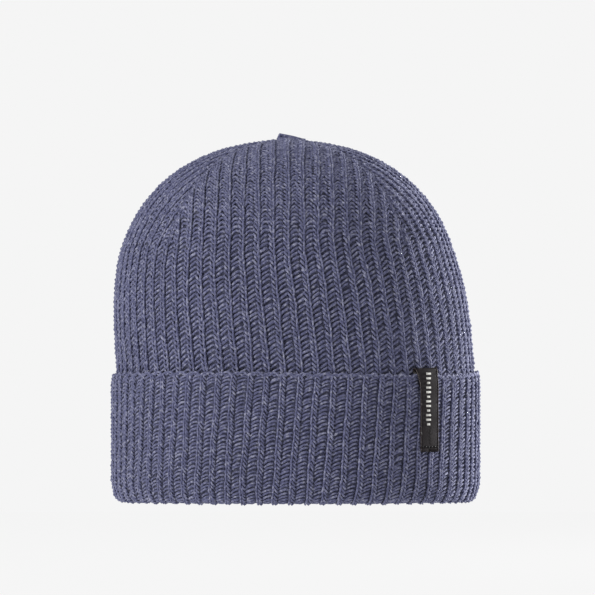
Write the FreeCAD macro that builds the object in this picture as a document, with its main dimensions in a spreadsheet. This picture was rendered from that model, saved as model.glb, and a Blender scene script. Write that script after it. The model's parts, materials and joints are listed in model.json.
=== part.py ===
"""Knit beanie with a turned-up cuff, in millimetres.

The wearer faces -Y, the opening is at the bottom and +Z is up. The origin is the centre of the
opening on the plane that the cuff's fold rests on. The hat is rib-knit cloth: a wall, a crown
of gores that end on four darts, one closing seam at the back, and a cuff turned up outside.
"""
import FreeCAD, Part
import Sketcher
import os

from FreeCAD import Placement, Rotation, Vector

doc = FreeCAD.newDocument("KnitBeanie")

# ---------------------------------------------------------------- driving dimensions

SIZES = (
    ("cuff_radius", 94.5, "outside radius of the turned-up cuff"),
    ("cuff_height", 67, "fold to free edge of the cuff"),
    ("cloth", 2.5, "thickness of one layer of rib knit"),
    ("cuff_gap", 0.3, "air between the cuff and the wall behind it"),
    ("crown_rise", 119.5, "cuff's free edge to the top of the crown"),
    ("shoulder_power", 3, "how late the wall turns in: 2 is an ellipse"),
    ("crown_power", 2.2, "how full the crown is: 2 is an ellipse"),
    ("crown_lean", 4.3, "how far the crown sits towards the wearer's right"),
    ("lean_rise", 60, "height above the cuff over which the crown leans"),
    ("dart_rise", 64, "cuff's free edge to the start of the darts"),
    ("seam_width", 1.6, "width of a linked seam"),
    ("seam_ridge", 1, "how far a seam stands up inside the crown"),
    ("tip_radius", 4.4, "radius of the drawn-up tip"),
    ("tip_rise", 3.5, "how far the tip stands above the crown"),
    ("tip_point", 1.5, "radius of the tip's point"),
    ("tip_round", 1, "rounding of the tip's point"),
    ("fold_height", 3.2, "height of the fold at the bottom"),
    ("fold_round", 2.4, "rounding of the fold"),
    ("edge_width", 1.8, "width of the cast-on edge"),
    ("edge_height", 1.8, "height of the cast-on edge"),
    ("edge_bevel", 0.5, "bevel of the cast-on edge"),
    ("label_width", 12.5, "width of the label tape"),
    ("label_length", 42.4, "top of the label's loop to its lower ends"),
    ("label_cloth", 0.5, "thickness of the label tape"),
    ("label_slack", 2.3, "air between the cast-on edge and the label's loop"),
    ("label_gap", 0.05, "air between the label tape and the knit"),
    ("label_turn", 45, "degrees from the front to the label, towards the wearer's left"),
    ("pocket_side", 0.4, "air beside the label's inner leg"),
    ("stitch_thick", 0.5, "diameter of a sewing stitch"),
    ("stitch_length", 1.7, "length of one stitch of the label"),
    ("stitch_pitch", 2.35, "step from stitch to stitch of the label"),
    ("stitch_rise", 2.2, "label's lower end to its line of stitches"),
    ("tag_length", 35, "free length of the care tag"),
    ("tag_height", 20, "height of the care tag"),
    ("tag_cloth", 0.5, "thickness of the folded care tag"),
    ("tag_rise", 7, "cuff's free edge to the care tag's lower edge"),
    ("tag_roll", 0.45, "radius of the roll at the care tag's sewn end"),
    ("tag_gap", 0.1, "air between the care tag's roll and its stitches"),
    ("tag_turn", 14, "degrees that the tag stands off the wall at rest"),
    ("tag_stitch_length", 3.2, "length of one stitch of the care tag"),
    ("tag_stitch_pitch", 5, "step from stitch to stitch of the care tag"),
)

sheet = doc.addObject("Spreadsheet::Sheet", "Sizes")
for row, (alias, value, meaning) in enumerate(SIZES, 1):
    sheet.set("A%d" % row, meaning)
    sheet.set("B%d" % row, str(value))
    sheet.setAlias("B%d" % row, alias)
doc.recompute()

# ---------------------------------------------------------------- sizes that follow

CUFF_OUT = "Sizes.cuff_radius"
CUFF_IN = "(Sizes.cuff_radius - Sizes.cloth)"
WALL_OUT = "(Sizes.cuff_radius - Sizes.cloth - Sizes.cuff_gap)"
WALL_IN = "(Sizes.cuff_radius - 2 * Sizes.cloth - Sizes.cuff_gap)"
WALL_FOOT = "(Sizes.fold_height + Sizes.cuff_gap)"
CUFF_TOP = "Sizes.cuff_height"
BAND_TOP = "(Sizes.cuff_height - Sizes.edge_height)"
DART_FOOT = "(Sizes.cuff_height + Sizes.dart_rise)"
CROWN_TOP = "(Sizes.cuff_height + Sizes.crown_rise)"
HAT_TOP = "(Sizes.cuff_height + Sizes.crown_rise + Sizes.tip_rise)"
REACH = "(2 * Sizes.cuff_radius)"  # longer than any half width of the hat
HALF_SEAM = "(Sizes.seam_width / 2)"
LABEL_TOP = "(Sizes.cuff_height + Sizes.label_slack + Sizes.label_cloth)"
LABEL_FOOT = "(%s - Sizes.label_length)" % LABEL_TOP
LABEL_OUT = "(Sizes.cuff_radius + Sizes.label_gap + Sizes.label_cloth)"
LABEL_IN = "(%s + Sizes.label_gap)" % CUFF_IN
POCKET_IN = "(%s + Sizes.label_cloth + 2 * Sizes.label_gap)" % CUFF_IN
TAG_FOOT = "(Sizes.cuff_height + Sizes.tag_rise)"
TAG_LEAN = (
    "(Sizes.crown_lean * (Sizes.tag_rise + Sizes.tag_height / 2) / Sizes.lean_rise)"
)


def ridge_face(rise):
    """How far back the closing seam's ridge stands, at a height above the cuff's edge."""
    share = "(%s / (Sizes.crown_rise - Sizes.cloth - Sizes.seam_ridge))" % rise
    return "((%s - Sizes.seam_ridge) * (1 - %s ^ Sizes.shoulder_power)" % (
        WALL_IN,
        share,
    ) + " ^ (1 / Sizes.crown_power))"


TAG_AXIS_Y = "(%s - Sizes.stitch_thick - Sizes.tag_gap - Sizes.tag_roll)" % ridge_face(
    "(Sizes.tag_rise + Sizes.tag_height)"
)

# Degrees round the crown's quarter outline, from the cuff's edge up to the tip
STATIONS = (0, 2, 6, 12, 20, 30, 40, 50, 60, 70, 80, 89)


def driven(thing, **expressions):
    """Binds properties to the sheet; a double underscore in a name stands for a dot."""
    for name, expression in expressions.items():
        thing.setExpression(name.replace("__", "."), expression)
    return thing


def add(kind, name, **expressions):
    return driven(doc.addObject(kind, name), **expressions)


def turned(thing, degrees):
    """Turns a piece about the vertical through its own origin."""
    thing.Placement = Placement(Vector(0, 0, 0), Rotation(Vector(0, 0, 1), degrees))
    return thing


def cut(name, base, tool):
    made = doc.addObject("Part::Cut", name)
    made.Base = base
    made.Tool = tool
    return made


def common(name, base, tool):
    made = doc.addObject("Part::Common", name)
    made.Base = base
    made.Tool = tool
    return made


def fuse(name, shapes):
    made = doc.addObject("Part::MultiFuse", name)
    made.Shapes = shapes
    return made


# ---------------------------------------------------------------- the forms under the cloth


def dome(name, inset):
    """A solid dome: rings on the crown's outline, all set in by inset, and leaning."""
    rings = []
    for number, turn in enumerate(STATIONS):
        share = "(sin(%d deg) ^ (2 / Sizes.shoulder_power))" % turn
        rise = "((Sizes.crown_rise - %s) * %s)" % (inset, share)
        lean = "min(%s / Sizes.lean_rise; 1)" % rise
        ring = add(
            "Part::Circle",
            "%s_ring_%02d" % (name, number),
            Radius="(%s - %s) * cos(%d deg) ^ (2 / Sizes.crown_power)"
            % (WALL_OUT, inset, turn),
            Placement__Base__x="-Sizes.crown_lean * %s" % lean,
            Placement__Base__z="%s + %s" % (CUFF_TOP, rise),
        )
        rings.append(ring)
    made = doc.addObject("Part::Loft", name)
    made.Sections = rings
    made.Solid = True
    made.Ruled = False
    return made


def standing_tube(name, radius, foot, top):
    return add(
        "Part::Cylinder",
        name,
        Radius=radius,
        Height="%s - %s" % (top, foot),
        Placement__Base__z=foot,
    )


outer_form = fuse(
    "outer_form",
    [dome("outer_dome", "0"), standing_tube("outer_tube", WALL_OUT, WALL_FOOT, CUFF_TOP)],
)
inner_form = fuse(
    "inner_form",
    [
        dome("inner_dome", "Sizes.cloth"),
        standing_tube("inner_tube", WALL_IN, "0", CUFF_TOP),
    ],
)
ridge_form = fuse(
    "ridge_form",
    [
        dome("ridge_dome", "(Sizes.cloth + Sizes.seam_ridge)"),
        standing_tube("ridge_tube", WALL_IN, "0", CUFF_TOP),
    ],
)
cloth_shell = cut("cloth_shell", outer_form, inner_form)
seam_shell = cut("seam_shell", outer_form, ridge_form)

# ---------------------------------------------------------------- seams and where they cut


def seam_slab(name, degrees):
    """An upright slab one seam wide, from the crown's tip outwards over a dart."""
    slab = add(
        "Part::Box",
        name,
        Length=REACH,
        Width="Sizes.seam_width",
        Height="%s - %s" % (HAT_TOP, DART_FOOT),
        Placement__Base__x="-Sizes.crown_lean + %s * sin(%d deg)" % (HALF_SEAM, degrees),
        Placement__Base__y="-%s * cos(%d deg)" % (HALF_SEAM, degrees),
        Placement__Base__z=DART_FOOT,
    )
    slab.Placement.Rotation = Rotation(Vector(0, 0, 1), degrees)
    return slab


def back_slab():
    """The closing seam's slab up the back, which follows the crown's lean."""
    low = add(
        "Part::Box",
        "back_slab_low",
        Length="Sizes.seam_width",
        Width=REACH,
        Height="%s" % CUFF_TOP,
        Placement__Base__x="-%s" % HALF_SEAM,
    )
    middle = add(
        "Part::Wedge",
        "back_slab_leaning",
        Xmin="-%s" % HALF_SEAM,
        Xmax=HALF_SEAM,
        X2min="-Sizes.crown_lean - %s" % HALF_SEAM,
        X2max="-Sizes.crown_lean + %s" % HALF_SEAM,
        Ymin=CUFF_TOP,
        Ymax="%s + Sizes.lean_rise" % CUFF_TOP,
        Zmin="-%s" % REACH,
        Zmax="0",
        Z2min="-%s" % REACH,
        Z2max="0",
    )
    middle.Placement = Placement(Vector(0, 0, 0), Rotation(Vector(1, 0, 0), 90))
    high = add(
        "Part::Box",
        "back_slab_high",
        Length="Sizes.seam_width",
        Width=REACH,
        Height="%s - %s - Sizes.lean_rise" % (HAT_TOP, CUFF_TOP),
        Placement__Base__x="-Sizes.crown_lean - %s" % HALF_SEAM,
        Placement__Base__z="%s + Sizes.lean_rise" % CUFF_TOP,
    )
    return fuse("back_slab", [low, middle, high])


# The core's own seam line is turned away from the domes' seam line
tip_core = turned(standing_tube("tip_core", "Sizes.tip_radius", DART_FOOT, HAT_TOP), 20)
driven(tip_core, Placement__Base__x="-Sizes.crown_lean", Placement__Base__z=DART_FOOT)
cloth_open = cut("cloth_open", cloth_shell, tip_core)
seam_open = cut("seam_open", seam_shell, tip_core)
closing_slab = back_slab()

back_seam = common("back_seam", seam_open, closing_slab)

# Compass of the darts, anticlockwise from +X as seen from above
DARTS = {"front_left": -45, "back_left": 45, "back_right": 135, "front_right": -135}
dart_seams = []
for place, degrees in DARTS.items():
    slab = seam_slab("slab_%s" % place, degrees)
    dart_seams.append(common("dart_seam_%s" % place, seam_open, slab))

# ---------------------------------------------------------------- wall and gores



def wall_ring(name, foot, top):
    """The crown's cloth between two heights, open at the closing seam."""
    whole = common("%s_whole" % name, cloth_open, standing_tube(name, REACH, foot, top))
    return cut("%s_open" % name, whole, closing_slab)


lower_wall = wall_ring("lower_wall", "0", CUFF_TOP)
wall_band = wall_ring("wall_band", CUFF_TOP, DART_FOOT)


def gore(name, degrees):
    """The quarter of the crown that starts at this angle, less the seams on both sides."""
    corner = add(
        "Part::Box",
        "%s_corner" % name,
        Length=REACH,
        Width=REACH,
        Height="%s - %s" % (HAT_TOP, DART_FOOT),
        Placement__Base__x="-Sizes.crown_lean + %s * (cos(%d deg) - sin(%d deg))"
        % (HALF_SEAM, degrees, degrees),
        Placement__Base__y="%s * (sin(%d deg) + cos(%d deg))"
        % (HALF_SEAM, degrees, degrees),
        Placement__Base__z=DART_FOOT,
    )
    corner.Placement.Rotation = Rotation(Vector(0, 0, 1), degrees)
    return common("%s_open" % name, cloth_open, corner)


def side_block(name, x_low):
    """Everything to one side of the closing seam in the crown."""
    return add(
        "Part::Box",
        name,
        Length=REACH,
        Width="2 * %s" % REACH,
        Height=HAT_TOP,
        Placement__Base__x=x_low,
        Placement__Base__y="-%s" % REACH,
    )


front_gore = gore("gore_front", DARTS["front_right"])
left_gore = gore("gore_left", DARTS["front_left"])
right_gore = gore("gore_right", DARTS["back_right"])
back_gore = gore("gore_back", DARTS["back_left"])
left_side = side_block("left_of_seam", "-Sizes.crown_lean + %s" % HALF_SEAM)
right_side = side_block(
    "right_of_seam", "-Sizes.crown_lean - %s - %s" % (HALF_SEAM, REACH)
)
back_left_gore = common("gore_back_left_open", back_gore, left_side)
back_right_gore = common("gore_back_right_open", back_gore, right_side)

# ---------------------------------------------------------------- turned profiles


def axis_of(body, role):
    return next(f for f in body.Origin.OriginFeatures if f.Role == role)


def turned_body(name, corners, angle="360"):
    """A PartDesign body: a polygon of (radius, height) expressions turned about Z."""
    body = doc.addObject("PartDesign::Body", name)
    sketch = body.newObject("Sketcher::SketchObject", "%s_profile" % name)
    sketch.AttachmentSupport = [(axis_of(body, "XZ_Plane"), "")]
    sketch.MapMode = "FlatFace"
    count = len(corners)
    # Rough places only: the constraints below put every corner where it belongs
    rough = [
        Vector(radius or 0, height or 0, 0)
        for radius, height in (
            (sketch_value(radius), sketch_value(height)) for radius, height in corners
        )
    ]
    for number in range(count):
        sketch.addGeometry(
            Part.LineSegment(rough[number], rough[(number + 1) % count]), False
        )
    for number in range(count):
        follower = (number + 1) % count
        sketch.addConstraint(
            Sketcher.Constraint("Coincident", number, 2, follower, 1)
        )
    for number, (radius, height) in enumerate(corners):
        if radius == "0":
            sketch.addConstraint(Sketcher.Constraint("PointOnObject", number, 1, -2))
        else:
            made = sketch.addConstraint(
                Sketcher.Constraint("DistanceX", -1, 1, number, 1, rough[number].x)
            )
            sketch.setExpression("Constraints[%d]" % made, radius)
        if height == "0":
            sketch.addConstraint(Sketcher.Constraint("PointOnObject", number, 1, -1))
        else:
            made = sketch.addConstraint(
                Sketcher.Constraint("DistanceY", -1, 1, number, 1, rough[number].y)
            )
            sketch.setExpression("Constraints[%d]" % made, height)
    turn = body.newObject("PartDesign::Revolution", "%s_turn" % name)
    turn.Profile = sketch
    turn.ReferenceAxis = (sketch, ["V_Axis"])
    turn.Midplane = True
    turn.setExpression("Angle", angle)
    return body


def sketch_value(expression):
    """The value of an expression of the sheet's sizes, to draw a corner near its place."""
    return float(sheet.evalExpression(expression.replace("Sizes.", "")))


def round_edges(body, radius, wanted):
    """Rounds the body's edges that wanted(edge) picks."""
    doc.recompute()
    base = body.Tip
    names = [
        "Edge%d" % number
        for number, edge in enumerate(base.Shape.Edges, 1)
        if wanted(edge)
    ]
    made = body.newObject("PartDesign::Fillet", "%s_round" % body.Name)
    made.Base = (base, names)
    made.setExpression("Radius", radius)
    return made


def ring_edge_at(height):
    """Picks the round edges that lie flat at one height."""
    level = sketch_value(height)

    def wanted(edge):
        box = edge.BoundBox
        flat = box.ZLength < 1e-6 and abs(box.ZMin - level) < 1e-6
        return flat and isinstance(edge.Curve, Part.Circle)

    return wanted


# ---------------------------------------------------------------- the cuff


def cuff_ring(name, foot, top):
    return turned_body(
        name, [(CUFF_IN, foot), (CUFF_OUT, foot), (CUFF_OUT, top), (CUFF_IN, top)]
    )


cuff_whole = cuff_ring("cuff_ring", "Sizes.fold_height", BAND_TOP)
label_pocket = turned_body(
    "label_pocket",
    [
        ("(%s - Sizes.label_gap)" % CUFF_IN, "(%s - Sizes.pocket_side)" % LABEL_FOOT),
        (POCKET_IN, "(%s - Sizes.pocket_side)" % LABEL_FOOT),
        (POCKET_IN, CUFF_TOP),
        ("(%s - Sizes.label_gap)" % CUFF_IN, CUFF_TOP),
    ],
    "(Sizes.label_width + 2 * Sizes.pocket_side) / Sizes.cuff_radius * 180 / pi",
)
cuff_slab = add(
    "Part::Box",
    "cuff_slab",
    Length="Sizes.seam_width",
    Width=REACH,
    Height=CUFF_TOP,
    Placement__Base__x="-%s" % HALF_SEAM,
)
cuff_seam = common("cuff_seam", cuff_whole, cuff_slab)
cuff_open = cut("cuff_open", cuff_whole, cuff_slab)
cuff_band = cut("cuff_band", cuff_open, label_pocket)

cuff_fold = turned_body(
    "cuff_fold",
    [
        (WALL_IN, "0"),
        (CUFF_OUT, "0"),
        (CUFF_OUT, "Sizes.fold_height"),
        (WALL_IN, "Sizes.fold_height"),
    ],
)
round_edges(cuff_fold, "Sizes.fold_round", ring_edge_at("0"))

EDGE_IN = "(%s + Sizes.label_gap)" % POCKET_IN
EDGE_OUT = "(%s + Sizes.edge_width)" % EDGE_IN
EDGE_SHOULDER = "(%s - Sizes.edge_bevel)" % CUFF_TOP
cuff_edge = turned_body(
    "cuff_edge",
    [
        (EDGE_IN, BAND_TOP),
        (EDGE_OUT, BAND_TOP),
        (EDGE_OUT, EDGE_SHOULDER),
        ("(%s - Sizes.edge_bevel)" % EDGE_OUT, CUFF_TOP),
        ("(%s + Sizes.edge_bevel)" % EDGE_IN, CUFF_TOP),
        (EDGE_IN, EDGE_SHOULDER),
    ],
)

# ---------------------------------------------------------------- label and its stitches

label_tape = turned_body(
    "label_tape",
    [
        (LABEL_IN, LABEL_FOOT),
        ("(%s + Sizes.label_cloth)" % LABEL_IN, LABEL_FOOT),
        (
            "(%s + Sizes.label_cloth)" % LABEL_IN,
            "(%s - Sizes.label_cloth)" % LABEL_TOP,
        ),
        (
            "(%s - Sizes.label_cloth)" % LABEL_OUT,
            "(%s - Sizes.label_cloth)" % LABEL_TOP,
        ),
        ("(%s - Sizes.label_cloth)" % LABEL_OUT, LABEL_FOOT),
        (LABEL_OUT, LABEL_FOOT),
        (LABEL_OUT, LABEL_TOP),
        (LABEL_IN, LABEL_TOP),
    ],
    "Sizes.label_width / Sizes.cuff_radius * 180 / pi",
)
round_edges(label_tape, "Sizes.cloth / 2", ring_edge_at(LABEL_TOP))

for piece in (label_tape, label_pocket):
    turned(piece, -45)
    driven(piece, Placement__Rotation__Angle="270 + Sizes.label_turn")

LABEL_STITCHES = (-2, -1, 0, 1, 2)
label_threads = []
for number, step in enumerate(LABEL_STITCHES):
    turn = "(270 + Sizes.label_turn + %d * Sizes.stitch_pitch / %s * 180 / pi)" % (
        step,
        CUFF_OUT,
    )
    out = "(%s + Sizes.stitch_thick / 2)" % LABEL_OUT
    thread = add(
        "Part::Cylinder",
        "label_thread_%d" % number,
        Radius="Sizes.stitch_thick / 2",
        Height="Sizes.stitch_length",
        Placement__Base__x="%s * cos(%s * 1 deg) + Sizes.stitch_length / 2 * sin(%s * 1 deg)"
        % (out, turn, turn),
        Placement__Base__y="%s * sin(%s * 1 deg) - Sizes.stitch_length / 2 * cos(%s * 1 deg)"
        % (out, turn, turn),
        Placement__Base__z="%s + Sizes.stitch_rise" % LABEL_FOOT,
    )
    # Laid along the label's width: the cylinder's own axis is turned to the tangent
    lay = sketch_value("270 + Sizes.label_turn") + step * sketch_value(
        "Sizes.stitch_pitch / %s * 180 / pi" % CUFF_OUT
    )
    thread.Placement.Rotation = Rotation(Vector(0, 0, 1), lay) * Rotation(
        Vector(1, 0, 0), -90
    )
    label_threads.append(thread)
label_stitches = fuse("label_stitches", label_threads)

# ---------------------------------------------------------------- care tag and its stitches

tag_plate = add(
    "Part::Box",
    "tag_plate",
    Length="Sizes.tag_length",
    Width="Sizes.tag_cloth",
    Height="Sizes.tag_height",
    Placement__Base__x="-%s - Sizes.tag_cloth / 2 * sin(Sizes.tag_turn * 1 deg)"
    % TAG_LEAN,
    Placement__Base__y="%s - Sizes.tag_cloth / 2 * cos(Sizes.tag_turn * 1 deg)"
    % TAG_AXIS_Y,
    Placement__Base__z=TAG_FOOT,
)
tag_plate.Placement.Rotation = Rotation(Vector(0, 0, -1), sketch_value("Sizes.tag_turn"))
tag_roll = add(
    "Part::Cylinder",
    "tag_roll_end",
    Radius="Sizes.tag_roll",
    Height="Sizes.tag_height",
    Placement__Base__x="-%s" % TAG_LEAN,
    Placement__Base__y=TAG_AXIS_Y,
    Placement__Base__z=TAG_FOOT,
)
care_tag = fuse("care_tag", [tag_plate, tag_roll])

TAG_STITCHES = (-1.5, -0.5, 0.5, 1.5)
tag_threads = []
for number, step in enumerate(TAG_STITCHES):
    middle = "(Sizes.tag_rise + Sizes.tag_height / 2 + %g * Sizes.tag_stitch_pitch)" % step
    top = "(%s + Sizes.tag_stitch_length / 2)" % middle
    thread = add(
        "Part::Cylinder",
        "tag_thread_%d" % number,
        Radius="Sizes.stitch_thick / 2",
        Height="Sizes.tag_stitch_length",
        Placement__Base__x="-%s" % TAG_LEAN,
        Placement__Base__y="%s - Sizes.stitch_thick / 2" % ridge_face(top),
        Placement__Base__z="%s + %s - Sizes.tag_stitch_length / 2" % (CUFF_TOP, middle),
    )
    tag_threads.append(thread)
tag_stitches = fuse("tag_stitches", tag_threads)

# ---------------------------------------------------------------- the drawn-up tip

CORE_FOOT = "(%s - Sizes.cloth - Sizes.seam_ridge)" % CROWN_TOP
crown_tip = turned_body(
    "crown_tip",
    [
        ("0", CORE_FOOT),
        ("Sizes.tip_radius", CORE_FOOT),
        ("Sizes.tip_radius", CROWN_TOP),
        ("Sizes.tip_point", HAT_TOP),
        ("0", HAT_TOP),
    ],
)
round_edges(crown_tip, "Sizes.tip_round", ring_edge_at(HAT_TOP))
driven(crown_tip, Placement__Base__x="-Sizes.crown_lean")

# ---------------------------------------------------------------- names, checks, files

NODES = {
    "lower_wall": lower_wall,
    "wall_band": wall_band,
    "front_gore": front_gore,
    "left_gore": left_gore,
    "right_gore": right_gore,
    "back_left_gore": back_left_gore,
    "back_right_gore": back_right_gore,
    "back_seam": back_seam,
    "crown_tip": crown_tip,
    "tag_stitching": tag_stitches,
    "cuff_band": cuff_band,
    "cuff_seam": cuff_seam,
    "cuff_fold": cuff_fold,
    "cuff_edge": cuff_edge,
    "label_tape": label_tape,
    "label_stitching": label_stitches,
    "care_tag": care_tag,
}
for dart in dart_seams:
    NODES[dart.Name] = dart

doc.recompute()
for thing in doc.Objects:
    if {"Invalid", "Error"} & set(thing.State):
        raise RuntimeError("%s failed: %s" % (thing.Name, thing.State))
for node, piece in NODES.items():
    piece.Label = node
    shape = piece.Shape
    if shape.isNull() or not shape.isValid() or shape.Volume <= 0:
        raise RuntimeError("%s has no valid solid" % node)

# The pocket has to have cut something
if cuff_band.Shape.Volume >= cuff_open.Shape.Volume:
    raise RuntimeError("the label's pocket cut nothing")

os.makedirs("parts", exist_ok=True)
for node, piece in NODES.items():
    piece.Shape.exportStep("parts/%s.step" % node)
    box = piece.Shape.BoundBox
    print(
        "%-24s %d solids %9.1f mm3  x %.2f %.2f  y %.2f %.2f  z %.2f %.2f"
        % (
            (node, len(piece.Shape.Solids), piece.Shape.Volume)
            + (box.XMin, box.XMax, box.YMin, box.YMax, box.ZMin, box.ZMax)
        )
    )
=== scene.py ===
"""Rib-knit beanie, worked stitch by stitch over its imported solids."""

import json
import math

import bmesh
import bpy
import numpy as np
from bpy.props import FloatProperty, FloatVectorProperty, IntProperty, PointerProperty
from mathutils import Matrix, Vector


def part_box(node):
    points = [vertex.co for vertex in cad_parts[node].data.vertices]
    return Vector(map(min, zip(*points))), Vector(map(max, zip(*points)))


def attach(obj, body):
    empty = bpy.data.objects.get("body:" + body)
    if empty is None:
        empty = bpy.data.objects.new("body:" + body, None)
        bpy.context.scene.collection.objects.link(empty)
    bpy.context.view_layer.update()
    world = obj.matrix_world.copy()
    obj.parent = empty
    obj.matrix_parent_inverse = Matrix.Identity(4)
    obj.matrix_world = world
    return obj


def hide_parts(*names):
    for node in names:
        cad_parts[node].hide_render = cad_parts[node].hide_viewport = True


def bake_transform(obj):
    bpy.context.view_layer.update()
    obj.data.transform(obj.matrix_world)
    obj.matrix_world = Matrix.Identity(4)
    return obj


bl_info = {
    "name": "Rib Knit Beanie",
    "version": (1, 0, 0),
    "blender": (4, 5, 0),
    "location": "3D View > Sidebar > Beanie",
    "description": "Knits a beanie with a turned-up cuff, course by course",
    "category": "Add Mesh",
}

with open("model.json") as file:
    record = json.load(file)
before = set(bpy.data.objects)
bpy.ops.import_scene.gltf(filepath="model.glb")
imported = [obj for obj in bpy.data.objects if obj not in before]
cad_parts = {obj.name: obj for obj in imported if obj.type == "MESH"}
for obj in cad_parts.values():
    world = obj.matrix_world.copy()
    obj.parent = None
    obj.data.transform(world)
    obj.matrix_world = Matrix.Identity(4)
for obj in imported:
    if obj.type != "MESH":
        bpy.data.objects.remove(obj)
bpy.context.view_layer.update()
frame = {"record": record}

MM = 0.001
SEED = 41
SETTLE = 0.0014  # how far the soft crown settles under the solids' top
WALL_GAP = 0.00028  # from the wall's outside to the nearest yarn of the cuff
CUFF_TO_INSIDE = 0.0053  # from the fold's outside to the wall's inside
CURL_REACH = 0.0055  # from the cuff's edge to where its curl begins
SUNK = 0.0002  # how far the yarn lies under the outline
SEAM_HALF = 0.0008  # half the closing seam's width
WALL_FOOT_ROW = 0.014  # height of the wall's first course
CUFF_FIRST_ROW = 0.0019  # the cuff's first course, down from its edge
WALE = 0.36  # the knit wale's share of a rib at the cuff's edge
LINING_CLEAR = 0.0004  # half the cuff's lining, with room for the wall's yarn
LABEL_RADII = (0.0923, 0.09485)  # of its leg behind the cuff's edge and in front of it
LABEL_WIDTH = 0.0125


def top_of(node):
    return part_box(node)[1]


def foot_of(node):
    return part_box(node)[0]


# ---- sizes and colours


def metres(name, description, default):
    return FloatProperty(name=name, description=description, default=default, unit="LENGTH")


def tint(name, description, default):
    return FloatVectorProperty(
        name=name, description=description, default=default, size=3, subtype="COLOR"
    )


class HatSizes(bpy.types.PropertyGroup):
    """The hat's outline, which the stitches follow."""

    wall_radius: metres(
        "Wall radius", "Outside radius of the wall inside the cuff", top_of("lower_wall").x
    )
    cuff_radius: metres("Cuff radius", "Outside radius of the cuff", top_of("cuff_band").x)
    cuff_top: metres("Cuff height", "Height of the cuff's free edge", top_of("cuff_edge").z)
    dart_foot: metres("Dart foot", "Height where the crown's darts start", top_of("wall_band").z)
    crown_rise: metres(
        "Crown rise",
        "From the cuff's edge to the top of the settled crown",
        top_of("front_gore").z - top_of("cuff_edge").z - SETTLE,
    )
    lean: metres(
        "Lean",
        "How far the crown leans to the wearer's right",
        -(top_of("crown_tip").x + foot_of("crown_tip").x) / 2,
    )
    lean_rise: metres("Lean rise", "Height above the cuff over which the crown leans", 0.060)
    shoulder_power: FloatProperty(
        name="Shoulder", description="Roundness of the shoulders", default=3.0
    )
    crown_power: FloatProperty(name="Crown", description="Roundness of the top", default=2.2)
    tip_radius: metres(
        "Tip radius",
        "Radius of the drawn-up tip",
        (top_of("crown_tip").x - foot_of("crown_tip").x) / 2,
    )
    peak_rise: metres("Peak rise", "How far the cloth rises toward the tip", 0.0011)
    peak_reach: metres("Peak reach", "Radius of the cloth that rises toward the tip", 0.0095)
    foot_draw: metres("Foot draw", "How far the cuff draws in at its fold", 0.0034)
    foot_rise: metres("Foot rise", "Height over which the cuff draws in to its fold", 0.013)
    edge_curl: metres("Edge curl", "How far the cuff's free edge curls in", 0.0011)


class KnitSizes(bpy.types.PropertyGroup):
    """The gauge of the crown's cloth and of the cuff's."""

    ribs: IntProperty(name="Ribs", description="Ribs round the hat", default=70)
    crown_pitch: metres("Crown course", "Height of a course in the crown", 0.00235)
    crown_yarn: metres("Crown yarn", "Radius of the yarn in the crown", 0.00064)
    cuff_pitch: metres("Cuff course", "Height of a course in the cuff", 0.0019)
    cuff_yarn: metres("Cuff yarn", "Radius of the yarn in the cuff", 0.00057)
    unevenness: FloatProperty(
        name="Unevenness",
        description="How much the stitches differ from each other",
        default=1.0,
    )


class HatColours(bpy.types.PropertyGroup):
    """The yarn's, tape's and threads' colours."""

    yarn: tint("Yarn", "Main colour of the yarn", (0.112, 0.117, 0.215))
    yarn_pale: tint("Pale fibres", "The paler fibres in the yarn", (0.360, 0.365, 0.460))
    yarn_dark: tint("Dark fibres", "The darker fibres in the yarn", (0.040, 0.042, 0.080))
    tape: tint("Label tape", "Colour of the label's satin", (0.0205, 0.0175, 0.0192))
    tape_edge: tint("Label selvedge", "The label's selvedges", (0.040, 0.031, 0.030))
    thread: tint("Sewing thread", "Colour of the label's stitches", (0.013, 0.013, 0.015))
    tag: tint("Care tag", "Colour of the care tag's satin", (0.70, 0.69, 0.66))
    tag_thread: tint("Tag thread", "Colour of the care tag's stitches", (0.6, 0.6, 0.58))


class StudioSizes(bpy.types.PropertyGroup):
    """Floor, lights and camera."""

    backdrop: tint(
        "Backdrop", "Colour of the floor and the air round the hat", (0.913, 0.913, 0.913)
    )
    fill: FloatProperty(
        name="Fill", description="Strength of the air's light on the hat", default=0.72
    )
    camera_distance: metres("Camera distance", "From the camera to the hat's axis", 3.0)
    camera_height: metres("Camera height", "Height of the camera over the hat's foot", 0.06)
    aim_height: metres("Aim height", "Height that the camera looks at", 0.1046)
    view_width: metres("View width", "Width that the camera takes in at the hat", 0.304)


def sizes():
    return bpy.context.scene.hat_sizes


def knit():
    return bpy.context.scene.knit_sizes


def colours():
    return bpy.context.scene.hat_colours


# ---- node groups


def new_group(name, inputs, outputs):
    """A shader node group and its two end nodes. An input's kind follows from its default."""
    kinds = {type(None): "Vector", tuple: "Color", float: "Float"}
    group = bpy.data.node_groups.new(name, "ShaderNodeTree")
    for label, default in inputs.items():
        kind = "NodeSocket" + kinds[type(default)]
        socket = group.interface.new_socket(label, in_out="INPUT", socket_type=kind)
        if default is not None:
            socket.default_value = default
    for label in outputs:
        kind = "NodeSocketColor" if label == "Color" else "NodeSocketFloat"
        group.interface.new_socket(label, in_out="OUTPUT", socket_type=kind)
    return group, group.nodes.new("NodeGroupInput"), group.nodes.new("NodeGroupOutput")


def feed(tree, node, inputs):
    """Links or sets a node's inputs, which are given by name or place."""
    for label, value in inputs.items():
        if isinstance(value, bpy.types.NodeSocket):
            tree.links.new(value, node.inputs[label])
        else:
            node.inputs[label].default_value = value
    return node


def add_node(tree, kind, inputs, **settings):
    node = tree.nodes.new("ShaderNode" + kind)
    for name, value in settings.items():
        setattr(node, name, value)
    return feed(tree, node, inputs)


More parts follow.
